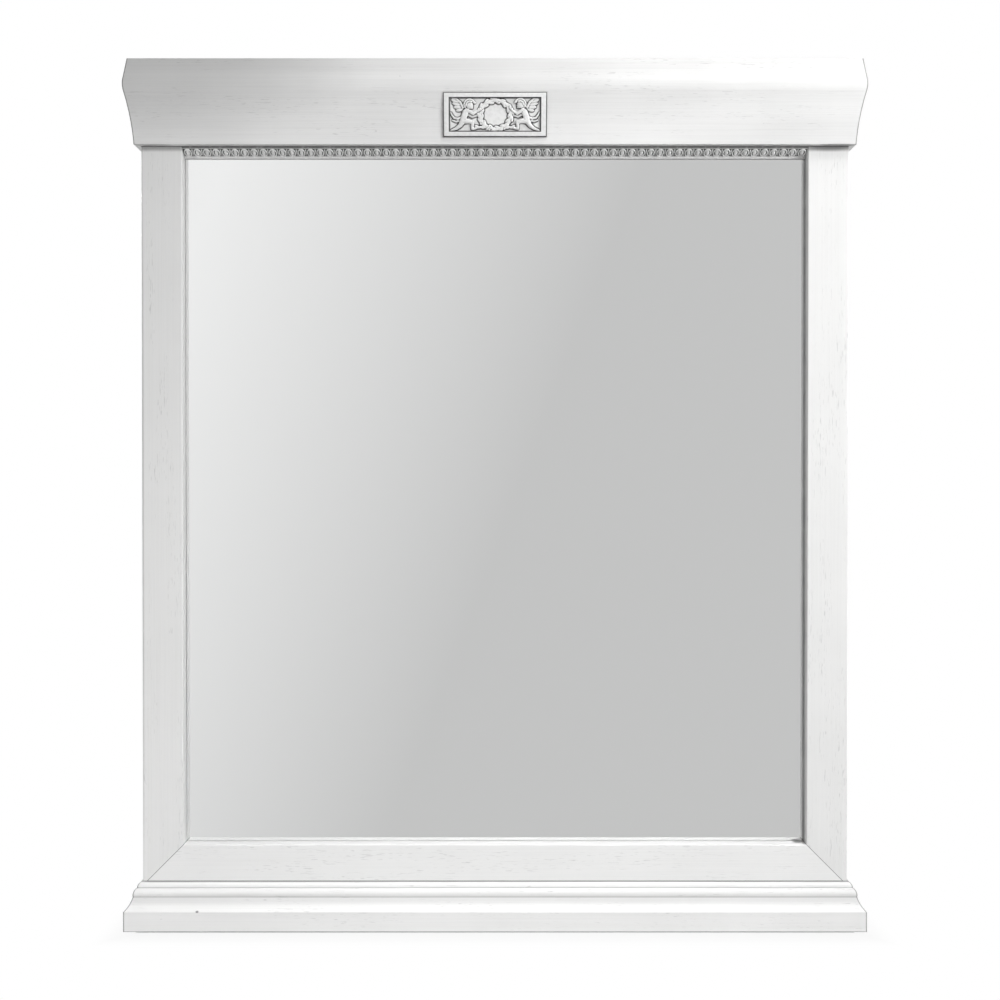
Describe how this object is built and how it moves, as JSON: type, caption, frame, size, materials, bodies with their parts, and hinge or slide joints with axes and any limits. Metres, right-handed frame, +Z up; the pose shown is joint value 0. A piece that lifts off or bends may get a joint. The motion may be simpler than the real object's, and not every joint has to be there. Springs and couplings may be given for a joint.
{
  "type": "framed mirror",
  "caption": "Framed mirror with a coved crown, a carved strip, a relief plaque and a moulded plinth; turn buttons hold the backing, and keyhole plates hang it.",
  "frame": {"origin": "middle of the rectangle that the mirror covers on the floor or dresser top, at the plinth's underside", "axes": "+X to the viewer's right, +Y towards the wall, +Z up; the mirror faces -Y"},
  "size_m": [0.9952, 0.0546, 1.1675],
  "materials": {
    "white_wood": "open-grain hardwood under white pigmented lacquer, grey left in the pores, satin",
    "carved_plaque": "white lacquer with dark patina wiped into the carving, satin",
    "bare_wood": "bare planed beech",
    "silvered_glass": "silvered float glass",
    "grey_card": "plain grey card",
    "backing_board": "fine fibre board, sanded",
    "block_rubber": "matt",
    "bumper_rubber": "matt",
    "hanger_steel": "zinc plated",
    "screw_steel": "zinc plated",
    "button_steel": "zinc plated"
  },
  "bodies": {
    "mirror_frame": {"left_stile": "white_wood", "right_stile": "white_wood", "bottom_rail": "white_wood", "top_rail": "white_wood", "crown_moulding": "white_wood", "crown_left_return": "white_wood", "crown_right_return": "white_wood", "egg_and_dart_strip": "white_wood", "plinth_board": "white_wood", "plinth_moulding": "white_wood", "plinth_left_return": "white_wood", "plinth_right_return": "white_wood", "relief_plaque": "carved_plaque", "mitre_dowels": "bare_wood", "rail_dowels": "bare_wood", "mirror_glass": "silvered_glass", "cushion_sheet": "grey_card", "backing_panel": "backing_board", "glass_setting_blocks": "block_rubber", "wall_bumpers": "bumper_rubber", "keyhole_hanger_left": "hanger_steel", "keyhole_hanger_right": "hanger_steel", "hanger_screws": "screw_steel", "crown_screws": "screw_steel", "plinth_screws": "screw_steel", "turn_button_screws": "screw_steel"},
    "button_left_low": {"turn_button_left_low": "button_steel"},
    "button_left_high": {"turn_button_left_high": "button_steel"},
    "button_right_low": {"turn_button_right_low": "button_steel"},
    "button_right_high": {"turn_button_right_high": "button_steel"},
    "button_bottom_left": {"turn_button_bottom_left": "button_steel"},
    "button_bottom_right": {"turn_button_bottom_right": "button_steel"},
    "button_top_left": {"turn_button_top_left": "button_steel"},
    "button_top_right": {"turn_button_top_right": "button_steel"}
  },
  "joints": [
    {"name": "left_low_turn", "type": "hinge", "parent": "mirror_frame", "child": "button_left_low", "pos_m": [-0.444, 0.02225, 0.34373], "axis": [0, 1, 0], "continuous": true},
    {"name": "left_high_turn", "type": "hinge", "parent": "mirror_frame", "child": "button_left_high", "pos_m": [-0.444, 0.02225, 0.80937], "axis": [0, 1, 0], "continuous": true},
    {"name": "right_low_turn", "type": "hinge", "parent": "mirror_frame", "child": "button_right_low", "pos_m": [0.444, 0.02225, 0.34373], "axis": [0, 1, 0], "continuous": true},
    {"name": "right_high_turn", "type": "hinge", "parent": "mirror_frame", "child": "button_right_high", "pos_m": [0.444, 0.02225, 0.80937], "axis": [0, 1, 0], "continuous": true},
    {"name": "bottom_left_turn", "type": "hinge", "parent": "mirror_frame", "child": "button_bottom_left", "pos_m": [-0.1688, 0.02225, 0.0889], "axis": [0, 1, 0], "continuous": true},
    {"name": "bottom_right_turn", "type": "hinge", "parent": "mirror_frame", "child": "button_bottom_right", "pos_m": [0.1688, 0.02225, 0.0889], "axis": [0, 1, 0], "continuous": true},
    {"name": "top_left_turn", "type": "hinge", "parent": "mirror_frame", "child": "button_top_left", "pos_m": [-0.1688, 0.02225, 1.0669], "axis": [0, 1, 0], "continuous": true},
    {"name": "top_right_turn", "type": "hinge", "parent": "mirror_frame", "child": "button_top_right", "pos_m": [0.1688, 0.02225, 1.0669], "axis": [0, 1, 0], "continuous": true}
  ]
}
